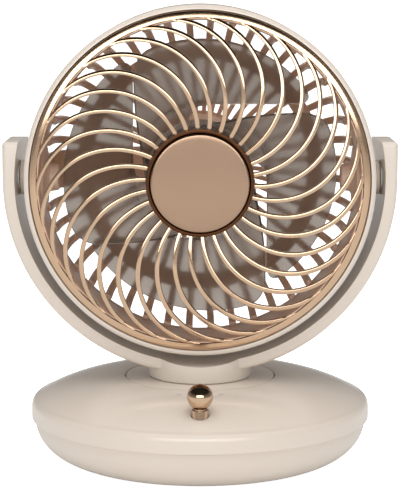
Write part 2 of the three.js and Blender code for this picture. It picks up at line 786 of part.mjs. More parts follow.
// A block that takes away everything behind the seam (1) or in front of it (-1).
function seamCutter(side) {
  const size = 2 * (yokeRadius + yokeDepth);
  return box(size, size, size, 0, side * (size - gap) / 2, 0);
}

function yokeScrewBores(radius, front, back) {
  return yokeScrewSpots.map(([x, z]) => moved(rodAboutY(radius, front, back, 8), x, 0, z));
}

const yoke = wholeYoke();
const threadEnd = yokeDepth / 2 - yokeScrewSink - yokeScrew.length - 6;
const frontShell = cut(yoke, seamCutter(1), ...yokeScrewBores(yokeScrew.shank + gap, threadEnd, 5));
const rearShell = cut(yoke, seamCutter(-1), ...yokeScrewBores(yokeScrew.shank + gap, -5, yokeDepth),
  ...yokeScrewBores(yokeScrew.head + gap, yokeDepth / 2 - yokeScrewSink, yokeDepth));
add(yokeGroup, 'yoke_front_shell', frontShell, 'cream');
add(yokeGroup, 'yoke_rear_shell', rearShell, 'cream');

yokeScrewSpots.forEach(([x, z], n) => {
  const head = yokeDepth / 2 - yokeScrewSink + yokeScrew.headHeight + gap;
  add(yokeGroup, `yoke_screw_${n + 1}`, moved(screw(yokeScrew).rotate([90, 0, 0]), x, head, z), 'steel');
});

neckScrewSpots.forEach(([x, y], n) => {
  const head = turntableBottom - neckScrew.headHeight - gap - pivotHeight;
  add(yokeGroup, `neck_screw_${n + 1}`, moved(screw(neckScrew), x, y, head), 'steel');
});

for (const [name, side] of mirrored) {
  const bore = pivotPinRadius + gap;
  const start = yokeInnerRadius - 0.4;
  const end = bushEnd - gap;
  const bush = [[bore, start], [bushRadius, start], [bushRadius, end], [bore, end], [bore, start]];
  add(yokeGroup, `pivot_bush_${name}`, turnedAboutX(bush, 16, side), 'acetal');
}

// ---------------------------------------------------------------- head housing

// A drum with a rounded front edge and a rear edge that curls in to a lip.
function housing() {
  const inner = housingRadius - housingWall;
  const edgeSteps = 3;
  const frontEdge = [];
  for (let n = 0; n <= edgeSteps; n += 1) {
    const angle = (Math.PI / 2) * (n / edgeSteps);
    const radius = housingRadius - housingEdge * (1 - Math.sin(angle));
    frontEdge.push([radius, -housingFront + housingEdge * (1 - Math.cos(angle))]);
  }
  const drum = turnedAboutY([
    [rimInnerRadius, -housingFront],
    ...frontEdge,
    [housingRadius, housingBack - 9.4],
    [housingRadius - 2, housingBack - 3.6],
    [housingRadius - 6.5, housingBack - 0.4],
    [rearLipRadius, housingBack],
    [rearLipRadius, housingBack - housingWall],
    [inner - 4.1, housingBack - 2.9],
    [inner - 0.9, housingBack - 6.4],
    [inner, housingBack - 10],
    [inner, -housingFront + frontRimDepth + 1],
    [rimInnerRadius, -housingFront + frontRimDepth],
    [rimInnerRadius, -housingFront],
  ], 48);
  const bosses = mirrored.map(([, side]) => turnedAboutX(
    rodProfile(pivotBossRadius, inner - 0.5, pivotBossFace), 16, side));
  const bores = mirrored.map(([, side]) => turnedAboutX(
    rodProfile(pivotPinRadius + gap, inner - 10, housingRadius + 10), 16, side));
  return cut(joined(drum, ...bosses), ...bores);
}
add(headGroup, 'housing', housing(), 'cream');

for (const [name, side] of mirrored) {
  const flangeEnd = housingRadius - housingWall - 0.5 - gap;
  const flangeStart = flangeEnd - pinFlangeThickness;
  const end = bushEnd - 2 * gap;
  const pin = [
    [pivotPinBore, flangeStart], [pinFlangeRadius, flangeStart], [pinFlangeRadius, flangeEnd],
    [pivotPinRadius, flangeEnd], [pivotPinRadius, end], [pivotPinBore, end], [pivotPinBore, flangeStart],
  ];
  add(headGroup, `pivot_pin_${name}`, turnedAboutX(pin, 16, side), 'steel');

  const bore = pivotPinRadius + gap;
  const edge = pivotBossRadius - 1;
  const start = pivotBossFace + gap;
  const stop = yokeInnerRadius - 2 * runningGap;
  const washer = [[bore, start], [edge, start], [edge, stop], [bore, stop], [bore, start]];
  add(headGroup, `friction_washer_${name}`, turnedAboutX(washer, 16, side), 'rubber');
}

// ---------------------------------------------------------------- front grille

// Middle line of a rib: a round arc that leaves the hub straight out and runs into the ring along
// it. x and z are in the plane of the grille, seen from the front.
function ribPoint(share, angle) {
  const start = grilleHubRadius - 1;
  const end = grilleRingRadius - grilleRingWidth / 2;
  const bend = (end * end - start * start) / (2 * end);
  const turn = (Math.PI - Math.atan2(start, bend)) * share;
  const x = start + bend * Math.sin(turn);
  const z = bend * (1 - Math.cos(turn));
  const lean = THREE.MathUtils.degToRad(ribLean) * (1 - share) ** 2;
  return new THREE.Vector2(x, z).rotateAround(new THREE.Vector2(), angle + lean);
}

function ribFront(radius) {
  const share = (radius - grilleHubRadius) / (grilleRingInnerRadius - grilleHubRadius);
  const bulge = 1 - THREE.MathUtils.clamp(share, 0, 1) ** 1.6;
  return ribSink - housingFront - grilleDome * bulge;
}

// One rib as a bar with four long edges, stepped along its arc.
function rib(angle) {
  const corners = [];
  for (let n = 0; n <= ribSteps; n += 1) {
    const here = ribPoint(n / ribSteps, angle);
    const ahead = ribPoint(n / ribSteps + 0.01, angle).sub(here).normalize();
    const side = new THREE.Vector2(-ahead.y, ahead.x).multiplyScalar(ribWidth / 2);
    const front = ribFront(here.length());
    for (const [sign, depth] of [[-1, 0], [1, 0], [1, ribDepth], [-1, ribDepth]]) {
      corners.push(here.x + sign * side.x, front + depth, here.y + sign * side.y);
    }
  }
  const last = 4 * ribSteps;
  const faces = [0, 2, 1, 0, 3, 2, last, last + 1, last + 2, last, last + 2, last + 3];
  for (let n = 0; n < ribSteps; n += 1) {
    for (let k = 0; k < 4; k += 1) {
      const a = 4 * n + k;
      const b = 4 * n + ((k + 1) % 4);
      faces.push(a, b, a + 4, b, b + 4, a + 4);
    }
  }
  return solid(indexed(corners, faces));
}

function frontGrille() {
  const front = -housingFront;
  const back = front + grilleRingDepth;
  const seat = capRadius + runningGap;
  const outerRing = turnedAboutY([
    [grilleRingInnerRadius, front], [grilleRingRadius - grilleRingEdge, front],
    [grilleRingRadius, front + grilleRingEdge], [grilleRingRadius, back],
    [grilleRingInnerRadius - 1.8, back], [grilleRingInnerRadius, front],
  ], 48);
  const hub = turnedAboutY([
    [0, trayFloor], [seat, trayFloor], [seat, hubRingFront], [grilleHubRadius, hubRingFront],
    [grilleHubRadius, hubRingBack], [0, hubRingBack],
  ], ribCount);
  return joined(outerRing, hub, ...around(ribCount, rib, Math.PI / 2));
}
add(headGroup, 'front_grille', frontGrille(), 'gold');

// A shallow disc with a rolled edge, on a smaller plug that fits the hub's tray.
function grilleCap() {
  const front = hubRingFront - capProud;
  const back = trayFloor - gap;
  const plug = capRadius - 3;
  return turnedAboutY([
    [0, front], [capRadius * 0.6, front + 0.25], [capRadius - 1.4, front + 0.7],
    [capRadius - 0.4, front + 1.2], [capRadius, front + 2], [capRadius, front + 3.4],
    [plug, front + 3.6], [plug, back], [0, back],
  ], 28);
}
add(headGroup, 'grille_cap', grilleCap(), 'copper');

// ---------------------------------------------------------------- rear basket

// A bar's side view, from the back plate over the hoop and the shoulder to the rim:
// [radius, distance back].
function spokeOutline(rootInset, frontSink, backRise) {
  const root = basketPlateRadius - rootInset;
  const tip = liningBackRadius + slatSink;
  const half = slatDepth / 2;
  return [
    [root, basketBack + frontSink], [hoopRadius - 0.5, hoopBack - half],
    [shoulderRadius - half, shoulderBack - half / 2], [tip - slatDepth, slatStart],
    [tip, slatStart], [shoulderRadius + half, shoulderBack + half / 2],
    [hoopRadius + 1, hoopBack + half], [root, basketBack + backRise],
  ];
}

function spoke(outline, width, degrees) {
  return moved(plate(outline, 0, width), 0, 0, -width / 2).rotate([0, degrees, 0]);
}

function slat(angle) {
  return spoke(spokeOutline(2, 0.4, slatDepth - 0.8), slatWidth, THREE.MathUtils.radToDeg(angle));
}

function motorScrewHoles(front, back) {
  return ring(3, motorScrewRing, Math.PI / 2).map(([x, z]) => moved(
    rodAboutY(motorScrew.shank + gap, front, back, 8), x, 0, z));
}

// The duct round the blades, held between the grille's ring and the basket's rim.
function ductLining() {
  const front = grilleRingDepth + gap - housingFront;
  const frontRadius = grilleRingInnerRadius - 0.6;
  return turnedAboutY([
    [frontRadius, front], [frontRadius + liningWall, front], [liningBackRadius + liningWall, liningBack],
    [liningBackRadius, liningBack], [frontRadius, front],
  ], slatCount);
}
add(headGroup, 'duct_lining', ductLining(), 'brown');

function rearBasket() {
  const flange = housingRadius - housingWall - 2.9;
  const flangeFront = liningBack + gap;
  const flangeBack = housingBack - housingWall - 0.8;
  const rim = turnedAboutY([
    [liningBackRadius, flangeFront], [flange, flangeFront], [flange, flangeBack - 1.9],
    [flange - 1.8, flangeBack], [liningBackRadius, flangeBack], [liningBackRadius, flangeFront],
  ], slatCount);
  const [hoopInner, hoopOuter] = [hoopRadius - hoopWidth / 2, hoopRadius + hoopWidth / 2];
  const hoop = turnedAboutY([
    [hoopInner, hoopBack + 0.6], [hoopOuter, hoopBack - 7], [hoopOuter, hoopBack - 3.6],
    [hoopInner, hoopBack + 4.4], [hoopInner, hoopBack + 0.6],
  ], slatCount / 2);
  const plateBack = motorPlateBack + motorPlateThickness;
  const towerBack = basketBack + basketPlateThickness;
  const tower = turnedAboutY([
    [0, motorPlateBack], [towerRadius, motorPlateBack], [towerRadius, basketBack],
    [basketPlateRadius, basketBack], [basketPlateRadius, towerBack],
    [towerRadius - towerWall, towerBack], [towerRadius - towerWall, plateBack], [0, plateBack],
  ], slatCount / 2);
  const web = spoke(spokeOutline(4, 0, 2.8), webWidth, 180);
  const webEdge = Math.asin(webWidth / 2 / liningBackRadius);
  const angles = around(slatCount, (angle) => angle, Math.PI / slatCount);
  const slats = angles.filter((angle) => Math.abs(angle - Math.PI) > webEdge).map(slat);
  return cut(joined(rim, hoop, tower, web, ...slats), ...motorScrewHoles(20, plateBack + 8));
}
add(headGroup, 'rear_basket', rearBasket(), 'brown');

// A thin domed shell that closes the back of the tower.
function rearCap() {
  const front = basketBack + basketPlateThickness + gap;
  const edge = basketPlateRadius + rearCapMargin;
  const steps = 4;
  const outer = [];
  const inner = [];
  for (let n = 0; n <= steps; n += 1) {
    const angle = (Math.PI / 2) * (n / steps);
    const rise = Math.sin(angle) ** 0.8;
    const reach = n === steps ? 0 : Math.cos(angle);
    outer.push([edge * reach, front + rearCapRise * rise]);
    inner.push([(edge - rearCapWall) * reach, front + (rearCapRise - rearCapWall) * rise]);
  }
  return turnedAboutY([...outer, ...inner.reverse(), outer[0]], slatCount / 2);
}
add(headGroup, 'rear_cap', rearCap(), 'brown');

// ---------------------------------------------------------------- motor and impeller

function fanMotor() {
  const bore = shaftRadius + runningGap;
  const can = turnedAboutY([
    [bore, motorNose], [motorCrownRadius, motorNose], [motorCrownRadius, -motorFront],
    [motorRadius - 2, -motorFront], [motorRadius, 2 - motorFront], [motorRadius, motorBack - 2],
    [motorRadius - 2, motorBack], [bore, motorBack], [bore, motorNose],
  ], 24);
  return cut(can, ...motorScrewHoles(motorBack - 8, motorBack + 8));
}
add(headGroup, 'fan_motor', fanMotor(), 'steel');

ring(3, motorScrewRing, Math.PI / 2).forEach(([x, z], n) => {
  const head = motorPlateBack + motorPlateThickness + motorScrew.headHeight + gap;
  add(headGroup, `motor_screw_${n + 1}`, moved(screw(motorScrew).rotate([90, 0, 0]), x, head, z), 'steel');
});

const shaftFront = impellerFace - 5;
add(headGroup, 'motor_shaft', rodAboutY(shaftRadius, shaftFront, motorBack - 2, 20), 'steel');

// Angle of a blade's front edge, which swings in towards the hub, at a radius.
function frontAngle(radius) {
  const share = Math.max((radius - impellerHubRadius) / (bladeTipRadius - impellerHubRadius), 0);
  const offset = impellerHubRadius + frontOverhang - frontSwing * (1 - share) ** 3;
  return Math.PI - Math.acos(Math.min(offset / radius, 1));
}

// The same of its straight back edge.
function backAngle(radius) {
  const offset = impellerHubRadius + backOverhang;
  return Math.asin(Math.min(offset / radius, 1)) + Math.max(offset - radius, 0) / offset;
}

function bladePoint(across, out) {
  const root = impellerHubRadius - 1;
  const radius = THREE.MathUtils.lerp(root, bladeTipRadius, out);
  const angle = THREE.MathUtils.lerp(frontAngle(radius), backAngle(radius), across);
  const lift = THREE.MathUtils.lerp(-bladeFront, bladeBack, across);
  const camber = bladeCamber * Math.sin(Math.PI * across);
  return [radius * Math.cos(angle), lift + camber, radius * Math.sin(angle)];
}

// A curved sheet with a front and a back layer of corners, closed round its four edges.
function blade(turnAngle) {
  const acrossSteps = 7;
  const outSteps = 3;
  const row = outSteps + 1;
  const layer = (acrossSteps + 1) * row;
  const corners = [];
  for (const offset of [-bladeThickness / 2, bladeThickness / 2]) {
    for (let i = 0; i <= acrossSteps; i += 1) {
      for (let j = 0; j <= outSteps; j += 1) {
        const [x, y, z] = bladePoint(i / acrossSteps, j / outSteps);
        corners.push(x, y + offset, z);
      }
    }
  }
  const faces = [];
  const quad = (a, b, c, d) => faces.push(a, b, c, a, c, d);
  for (let i = 0; i < acrossSteps; i += 1) {
    for (let j = 0; j < outSteps; j += 1) {
      const a = i * row + j;
      quad(a, a + 1, a + row + 1, a + row);
      quad(layer + a, layer + a + row, layer + a + row + 1, layer + a + 1);
    }
  }
  for (let i = 0; i < acrossSteps; i += 1) {
    const a = i * row;
    const b = a + outSteps;
    quad(a, a + row, layer + a + row, layer + a);
    quad(b, layer + b, layer + b + row, b + row);
  }
  for (let j = 0; j < outSteps; j += 1) {
    const b = acrossSteps * row + j;
    quad(j, layer + j, layer + j + 1, j + 1);
    quad(b, b + 1, layer + b + 1, layer + b);
  }
  return solid(indexed(corners, faces).rotateY(turnAngle));
}

function impeller() {
  const bore = shaftRadius + gap;
  const inner = impellerHubRadius - impellerHubWall;
  const back = bladeBack + 2;
  const faceBack = impellerFace + 2.4;
  const bossBack = motorNose - runningGap;
  const hub = turnedAboutY([
    [bore, impellerFace], [impellerHubRadius - 4, impellerFace],
    [impellerHubRadius - 1, impellerFace + 1.2], [impellerHubRadius, impellerFace + 4],
    [impellerHubRadius, back], [inner, back],
    [inner, impellerFace + 4], [inner - 2, faceBack], [motorCrownRadius, faceBack],
    [motorCrownRadius, bossBack], [bore, bossBack], [bore, impellerFace],
  ], 28);
  return joined(hub, ...around(bladeCount, blade));
}
add(headGroup, 'impeller', impeller(), 'smoke');

// A cap nut on the end of the shaft.
function impellerNut() {
  const bore = shaftRadius + gap;
  const back = impellerFace - gap;
  return turnedAboutY([
    [bore, back], [nutRadius, back], [nutRadius - 0.6, shaftFront], [nutRadius - 2.6, shaftFront - 1.4],
    [0, shaftFront - 1.8], [0, shaftFront - gap], [bore, shaftFront - gap], [bore, back],
  ], 10);
}
add(headGroup, 'impeller_nut', impellerNut(), 'acetal');

export default fan;
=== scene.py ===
import math
import bmesh
import bpy
from mathutils import Matrix, Vector


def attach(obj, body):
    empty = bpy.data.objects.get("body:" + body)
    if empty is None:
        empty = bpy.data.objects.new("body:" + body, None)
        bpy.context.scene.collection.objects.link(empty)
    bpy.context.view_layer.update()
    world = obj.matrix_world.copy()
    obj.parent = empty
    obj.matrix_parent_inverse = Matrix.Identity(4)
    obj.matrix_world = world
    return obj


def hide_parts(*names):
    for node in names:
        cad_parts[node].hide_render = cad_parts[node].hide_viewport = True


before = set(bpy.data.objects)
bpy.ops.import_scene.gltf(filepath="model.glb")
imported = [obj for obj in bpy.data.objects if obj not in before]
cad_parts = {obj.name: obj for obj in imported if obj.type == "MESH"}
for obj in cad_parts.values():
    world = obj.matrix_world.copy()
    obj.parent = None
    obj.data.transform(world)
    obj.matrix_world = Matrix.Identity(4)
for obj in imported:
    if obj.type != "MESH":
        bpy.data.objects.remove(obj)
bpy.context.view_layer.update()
scene = bpy.context.scene

# ------------------------------------------------------------ studio
# A lit pale table top that runs far back and a white room whose ceiling shows dark in the plating.
# A wide strip in front makes the bright streaks, and a low fill and a lamp overhead the soft light.
scene.view_settings.view_transform = "Standard"
lens = bpy.data.cameras.new("camera")
lens.sensor_width = 36
lens.lens = 136.4
lens.clip_start, lens.clip_end = 0.05, 100
camera = bpy.data.objects.new("camera", lens)
camera.location = (0, -1.288, 0.3374)
camera.rotation_euler = (math.radians(81.77), 0, 0)
scene.collection.objects.link(camera)
scene.camera = camera


def softbox(name, place, aim, width, height, power):
    light = bpy.data.lights.new(name, "AREA")
    light.shape = "RECTANGLE"
    light.size, light.size_y, light.energy = width, height, power
    lamp = bpy.data.objects.new(name, light)
    lamp.location = place
    lamp.rotation_euler = (Vector(aim) - Vector(place)).to_track_quat("-Z", "Y").to_euler()
    scene.collection.objects.link(lamp)
    return lamp


strip = softbox("front_strip", (0, -2.6, 0.8), (0, 0, 0.2), 3.0, 0.8, 32)
strip.visible_diffuse = False
fill = softbox("low_fill", (0, -1.9, 0.3), (0, 0, 0.12), 1.5, 0.5, 9)
fill.visible_glossy = False
top = softbox("top_softbox", (0, -0.5, 2.3), (0, 0, 0.1), 1.9, 1.9, 30)
top.visible_glossy = False


# Adds a shader node, sets its options, and gives each of its sockets a value or a link.
def fitted(tree, kind, sockets=None, **options):
    node = tree.nodes.new(kind)
    for option, value in options.items():
        setattr(node, option, value)
    for socket, value in (sockets or {}).items():
        if isinstance(value, bpy.types.NodeSocket):
            tree.links.new(value, node.inputs[socket])
        else:
            node.inputs[socket].default_value = value
    return node


room = bpy.data.worlds.new("room")
room.use_nodes = True
room.node_tree.nodes.clear()
seen = fitted(room.node_tree, "ShaderNodeLightPath")
straight = fitted(room.node_tree, "ShaderNodeMath", {0: seen.outputs["Is Camera Ray"],
                  1: seen.outputs["Is Transmission Ray"]}, operation="MAXIMUM")
toward = fitted(room.node_tree, "ShaderNodeTexCoord")
height = fitted(room.node_tree, "ShaderNodeSeparateXYZ", {"Vector": toward.outputs["Generated"]})
ceiling = fitted(room.node_tree, "ShaderNodeMapRange", {"Value": height.outputs["Z"], "From Min": 0.1,
                 "From Max": 0.5, "To Min": 0.3, "To Max": 0.02})
even = fitted(room.node_tree, "ShaderNodeMapRange", {"Value": seen.outputs["Is Glossy Ray"],
              "To Min": 0.6, "To Max": ceiling.outputs["Result"]})
level = fitted(room.node_tree, "ShaderNodeMapRange", {"Value": straight.outputs[0],
               "To Min": even.outputs["Result"], "To Max": 1.0})
glow = fitted(room.node_tree, "ShaderNodeBackground",
              {"Color": (1, 1, 1, 1), "Strength": level.outputs["Result"]})
fitted(room.node_tree, "ShaderNodeOutputWorld", {"Surface": glow.outputs["Background"]})
scene.world = room

table = bpy.data.materials.new("pale_table")
table.use_nodes = True
tree = table.node_tree
tree.nodes.clear()
seen = fitted(tree, "ShaderNodeLightPath")
lift = fitted(tree, "ShaderNodeMapRange", {"Value": seen.outputs["Is Camera Ray"], "To Min": 0.1,
              "To Max": 0.9})
matt = fitted(tree, "ShaderNodeBsdfDiffuse", {"Color": (0.8, 0.8, 0.8, 1)})
lit = fitted(tree, "ShaderNodeEmission", {"Strength": lift.outputs["Result"]})
both = fitted(tree, "ShaderNodeAddShader", {0: matt.outputs[0], 1: lit.outputs[0]})
fitted(tree, "ShaderNodeOutputMaterial", {"Surface": both.outputs[0]})

bm = bmesh.new()
bmesh.ops.create_grid(bm, x_segments=1, y_segments=1, size=40)
sheet = bpy.data.meshes.new("floor")
bm.to_mesh(sheet)
bm.free()
sheet.materials.append(table)
floor = bpy.data.objects.new("floor", sheet)
scene.collection.objects.link(floor)

# ------------------------------------------------------------ base bowl and feet
# The lower half of the base: a moulded cream bowl with a quarter-round wall, standing on four
# rubber pads, with deep holes for the screws that pull it up against the cover.
mm = 0.001
foot_circle = 70
base_screw_circle = 96


# Spins an outline of (radius, height) points in millimetres round the upright axis. An outline
# that begins and ends on the axis makes a solid of it, and any other is closed into a ring.
def turned(outline, steps=180):
    bm = bmesh.new()
    points = [bm.verts.new((radius * mm, 0, height * mm)) for radius, height in outline]
    for near, far in zip(points, points[1:]):
        bm.edges.new((near, far))
    if outline[0][0] > 0 or outline[-1][0] > 0:
        bm.edges.new((points[-1], points[0]))
    bmesh.ops.spin(bm, geom=bm.verts[:] + bm.edges[:], cent=(0, 0, 0), axis=(0, 0, 1),
                   angle=math.tau, steps=steps, use_merge=True)
    bmesh.ops.remove_doubles(bm, verts=bm.verts, dist=1e-6)
    bmesh.ops.recalc_face_normals(bm, faces=bm.faces)
    return bm


# Rounds off every edge that is sharper than the given angle.
def eased(bm, width, segments=3, sharper=30):
    edges = [e for e in bm.edges if e.is_manifold and e.calc_face_angle() > math.radians(sharper)]
    bmesh.ops.bevel(bm, geom=edges, offset=width * mm, offset_type="OFFSET", affect="EDGES",
                    segments=segments, profile=0.5, material=-1, clamp_overlap=True)
    return bm


def shifted(bm, x, y, z):
    bmesh.ops.translate(bm, verts=bm.verts, vec=(x * mm, y * mm, z * mm))
    return bm


# Puts several closed shapes into one.
def together(*shapes):
    whole = shapes[0]
    for extra in shapes[1:]:
        mesh = bpy.data.meshes.new("extra")
        extra.to_mesh(mesh)
        extra.free()
        whole.from_mesh(mesh)
        bpy.data.meshes.remove(mesh)
    return whole


# Cuts one closed shape out of another, or joins the two.
def carved(shape, tool, work="DIFFERENCE"):
    blanks = []
    for blank in (shape, tool):
        mesh = bpy.data.meshes.new("blank")
        blank.to_mesh(mesh)
        blank.free()
        blanks.append(bpy.data.objects.new("blank", mesh))
        scene.collection.objects.link(blanks[-1])
    cutter = blanks[0].modifiers.new("cutter", "BOOLEAN")
    cutter.operation, cutter.solver, cutter.object = work, "EXACT", blanks[1]
    bpy.context.view_layer.update()
    done = blanks[0].evaluated_get(bpy.context.evaluated_depsgraph_get())
    result = bmesh.new()
    result.from_mesh(done.to_mesh())
    done.to_mesh_clear()
    for blank in blanks:
        mesh = blank.data
        bpy.data.objects.remove(blank)
        bpy.data.meshes.remove(mesh)
    return result


# Makes the finished object, which rides on its body and stands for its solids in the frame.
def piece(name, bm, finish, body, slot, *nodes):
    bmesh.ops.remove_doubles(bm, verts=bm.verts, dist=1e-6)
    bmesh.ops.recalc_face_normals(bm, faces=bm.faces)
    mesh = bpy.data.meshes.new(name)
    bm.to_mesh(mesh)
    bm.free()
    mesh.polygons.foreach_set("use_smooth", [True] * len(mesh.polygons))
    mesh.set_sharp_from_angle(angle=math.radians(34))
    mesh.materials.append(finish)
    made = bpy.data.objects.new(name, mesh)
    scene.collection.objects.link(made)
    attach(made, body)
    if nodes:
        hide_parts(*nodes)
    return made


# The skin of a moulding: fine grain, slow clouds of tone, and patches rubbed smoother.
skin = bpy.data.node_groups.new("moulded_skin", "ShaderNodeTree")
skin.interface.new_socket("Grain Size", in_out="INPUT", socket_type="NodeSocketFloat")
skin.interface.new_socket("Cloud Size", in_out="INPUT", socket_type="NodeSocketFloat")
for output in ("Grain", "Cloud", "Rub"):
    skin.interface.new_socket(output, in_out="OUTPUT", socket_type="NodeSocketFloat")
given = fitted(skin, "NodeGroupInput")
where = fitted(skin, "ShaderNodeTexCoord")
grain = fitted(skin, "ShaderNodeTexNoise", {"Vector": where.outputs["Object"],
               "Scale": given.outputs["Grain Size"], "Detail": 3.0, "Roughness": 0.6})
cloud = fitted(skin, "ShaderNodeTexNoise", {"Vector": where.outputs["Object"],
               "Scale": given.outputs["Cloud Size"], "Detail": 4.0, "Roughness": 0.5})
streak = fitted(skin, "ShaderNodeMapping", {"Vector": where.outputs["Object"],
                "Rotation": (0.3, 0.5, 0.2), "Scale": (60, 9, 22)})
rub = fitted(skin, "ShaderNodeTexNoise", {"Vector": streak.outputs["Vector"], "Scale": 1.0,
             "Detail": 5.0, "Roughness": 0.65})
fitted(skin, "NodeGroupOutput", {"Grain": grain.outputs["Fac"], "Cloud": cloud.outputs["Fac"],
                                 "Rub": rub.outputs["Fac"]})


# A moulded plastic: two close tones, satin roughness that shifts with rubbing, and its grain.
def plastic(name, tone, deeper, rough, grain_size=1400, relief=0.1, **plain):
    finish = bpy.data.materials.new(name)
    finish.use_nodes = True
    tree = finish.node_tree
    tree.nodes.clear()
    surface = fitted(tree, "ShaderNodeGroup", node_tree=skin)
    surface.inputs["Grain Size"].default_value = grain_size
    surface.inputs["Cloud Size"].default_value = 16
    colour = fitted(tree, "ShaderNodeMix", {"Factor": surface.outputs["Cloud"]}, data_type="RGBA")
    colour.inputs["A"].default_value = (*tone, 1)
    colour.inputs["B"].default_value = (*deeper, 1)
    matt = fitted(tree, "ShaderNodeMapRange", {"Value": surface.outputs["Rub"], "From Min": 0.3,
                  "From Max": 0.7, "To Min": rough - 0.05, "To Max": rough + 0.05})
    bump = fitted(tree, "ShaderNodeBump", {"Height": surface.outputs["Grain"], "Strength": relief,
                  "Distance": 0.0001})
    shader = fitted(tree, "ShaderNodeBsdfPrincipled", {"Base Color": colour.outputs["Result"],
                    "Roughness": matt.outputs["Result"], "Normal": bump.outputs["Normal"],
                    **{socket.replace("_", " "): value for socket, value in plain.items()}})
    fitted(tree, "ShaderNodeOutputMaterial", {"Surface": shader.outputs["BSDF"]})
    return finish


cream = plastic("cream_moulding", (0.71, 0.625, 0.54), (0.685, 0.6, 0.515), 0.36,
                Coat_Weight=0.5, Coat_Roughness=0.12)
rubber = plastic("rubber_pad", (0.022, 0.021, 0.02), (0.03, 0.028, 0.026), 0.8, 2400, 0.35)

bowl_wall = [(82 + (34.4 - thin) * math.cos(a), 30 - (28.5 - thin) * math.sin(a))
             for thin, turns in ((0, range(24, -1, -1)), (2.6, range(0, 25)))
             for a in (math.radians(90) * n / 24 for n in turns)]
foot_spots = [(foot_circle * math.cos(a), foot_circle * math.sin(a))
              for a in (math.radians(90) * n for n in range(4))]
base_screw_spots = [(base_screw_circle * math.cos(a), base_screw_circle * math.sin(a))
                    for a in (math.radians(45 + 90 * n) for n in range(4))]
bowl = turned([(0, 1.5)] + bowl_wall + [(0, 4.1)], 240)
bosses = [shifted(turned([(0, 2.2), (6.2, 2.2), (6.2, 24), (0, 24)], 40), x, y, 0)
          for x, y in base_screw_spots]
pockets = [shifted(eased(turned([(0, -2), (9.3, -2), (9.3, 2.5), (0, 2.5)], 48), 0.2, 2), x, y, 0)
           for x, y in foot_spots]
pockets += [shifted(turned([(0, -2), (3.5, -2), (3.5, 12), (2, 12), (2, 32), (0, 32)], 32), x, y, 0)
            for x, y in base_screw_spots]
socket_pocket = turned([(0, 90), (5.8, 90), (5.8, 106), (8.3, 106), (8.3, 125), (0, 125)], 48)
upright_to_back = Matrix.Translation((0, 0, 19 * mm)) @ Matrix.Rotation(math.radians(-90), 4, "X")
bmesh.ops.transform(socket_pocket, matrix=upright_to_back, verts=socket_pocket.verts)
socket_boss = turned([(0, 98.4), (12, 98.4), (12, 112), (0, 112)], 64)
bmesh.ops.transform(socket_boss, matrix=upright_to_back, verts=socket_boss.verts)
filled_bowl = turned([(0, 1.6)] + [(r - 0.3, z + 0.1) for r, z in bowl_wall[:25]] + [(0, 29.9)], 240)
for boss in [socket_boss] + bosses:
    bowl = carved(bowl, carved(boss, filled_bowl.copy(), "INTERSECT"), "UNION")
filled_bowl.free()
for pocket in pockets + [socket_pocket]:
    bowl = carved(bowl, pocket)
piece("bowl", bowl, cream, "base", "cream_plastic", "base_bowl")

for n, (x, y) in enumerate(foot_spots, 1):
    pad = turned([(0, 0.5), (5.2, 0.5), (5.2, 0), (9, 0), (9, 2.2), (0, 2.2)], 48)
    piece(f"pad_{n}", shifted(eased(pad, 0.35), x, y, 0), rubber, "base", "rubber", f"foot_{n}")

# ------------------------------------------------------------ base cover
# The upper half of the base: a shallow cream dome with an upright rim that stands proud of the
# bowl, sunk in the middle for the turntable and pierced for the knob's collar and two lamps.
knob_y = -97
lamp_x, lamp_y = 14.2, -64


def dome(radius):
    return 59.2 - 17.2 * max((radius - 36.1) / 82.7, 0) ** 3


rim_round = [(115.4 + 3.4 * math.cos(a), 38.4 + (dome(115.4) - 38.4) * math.sin(a))
             for a in (math.radians(90) * n / 8 for n in range(8))]
over = [(r, dome(r)) for r in (115.4 - 61.7 * n / 28 for n in range(29))]
under = [(r, dome(r) - 2.6) for r in (57 + 56 * n / 10 for n in range(11))]
cover = turned([(118.4, 30.6), (118.8, 31)] + rim_round + over
               + [(53.2, 58.9), (52.9, 58.5), (52.9, 53.3), (30, 53.3), (30, 50.7), (55.5, 50.7)]
               + under + [(116.2, 36.5), (116.2, 30.6)], 240)
cover = carved(cover, shifted(turned([(0, 40), (6.2, 40), (6.2, 70), (0, 70)], 48), 0, knob_y, 0))
for side in (-1, 1):
    lamp_hole = turned([(0, 40), (1.6, 40), (1.6, 70), (0, 70)], 32)
    cover = carved(cover, shifted(lamp_hole, side * lamp_x, lamp_y, 0))
piece("cover", cover, cream, "base", "cream_plastic", "base_cover")

# ------------------------------------------------------------ power socket
# A black barrel socket with a round flange, sunk in the back of the bowl, and its steel pin.
black = plastic("black_moulding", (0.018, 0.017, 0.016), (0.026, 0.024, 0.022), 0.42, 1800, 0.2)
barrel = turned([(3.2, 91.5), (5.4, 91.5), (5.4, 106.4), (7.9, 106.4), (7.9, 108.4), (4.2, 108.4),
                 (3.2, 107.4)], 48)
blind = turned([(0, 91.5), (5.4, 91.5), (5.4, 93.5), (0, 93.5)], 48)
for part in (barrel, blind):
    eased(part, 0.25, 2)
    bmesh.ops.transform(part, matrix=upright_to_back, verts=part.verts)
piece("socket_barrel", together(barrel, blind), black, "base", "black_plastic", "power_socket")


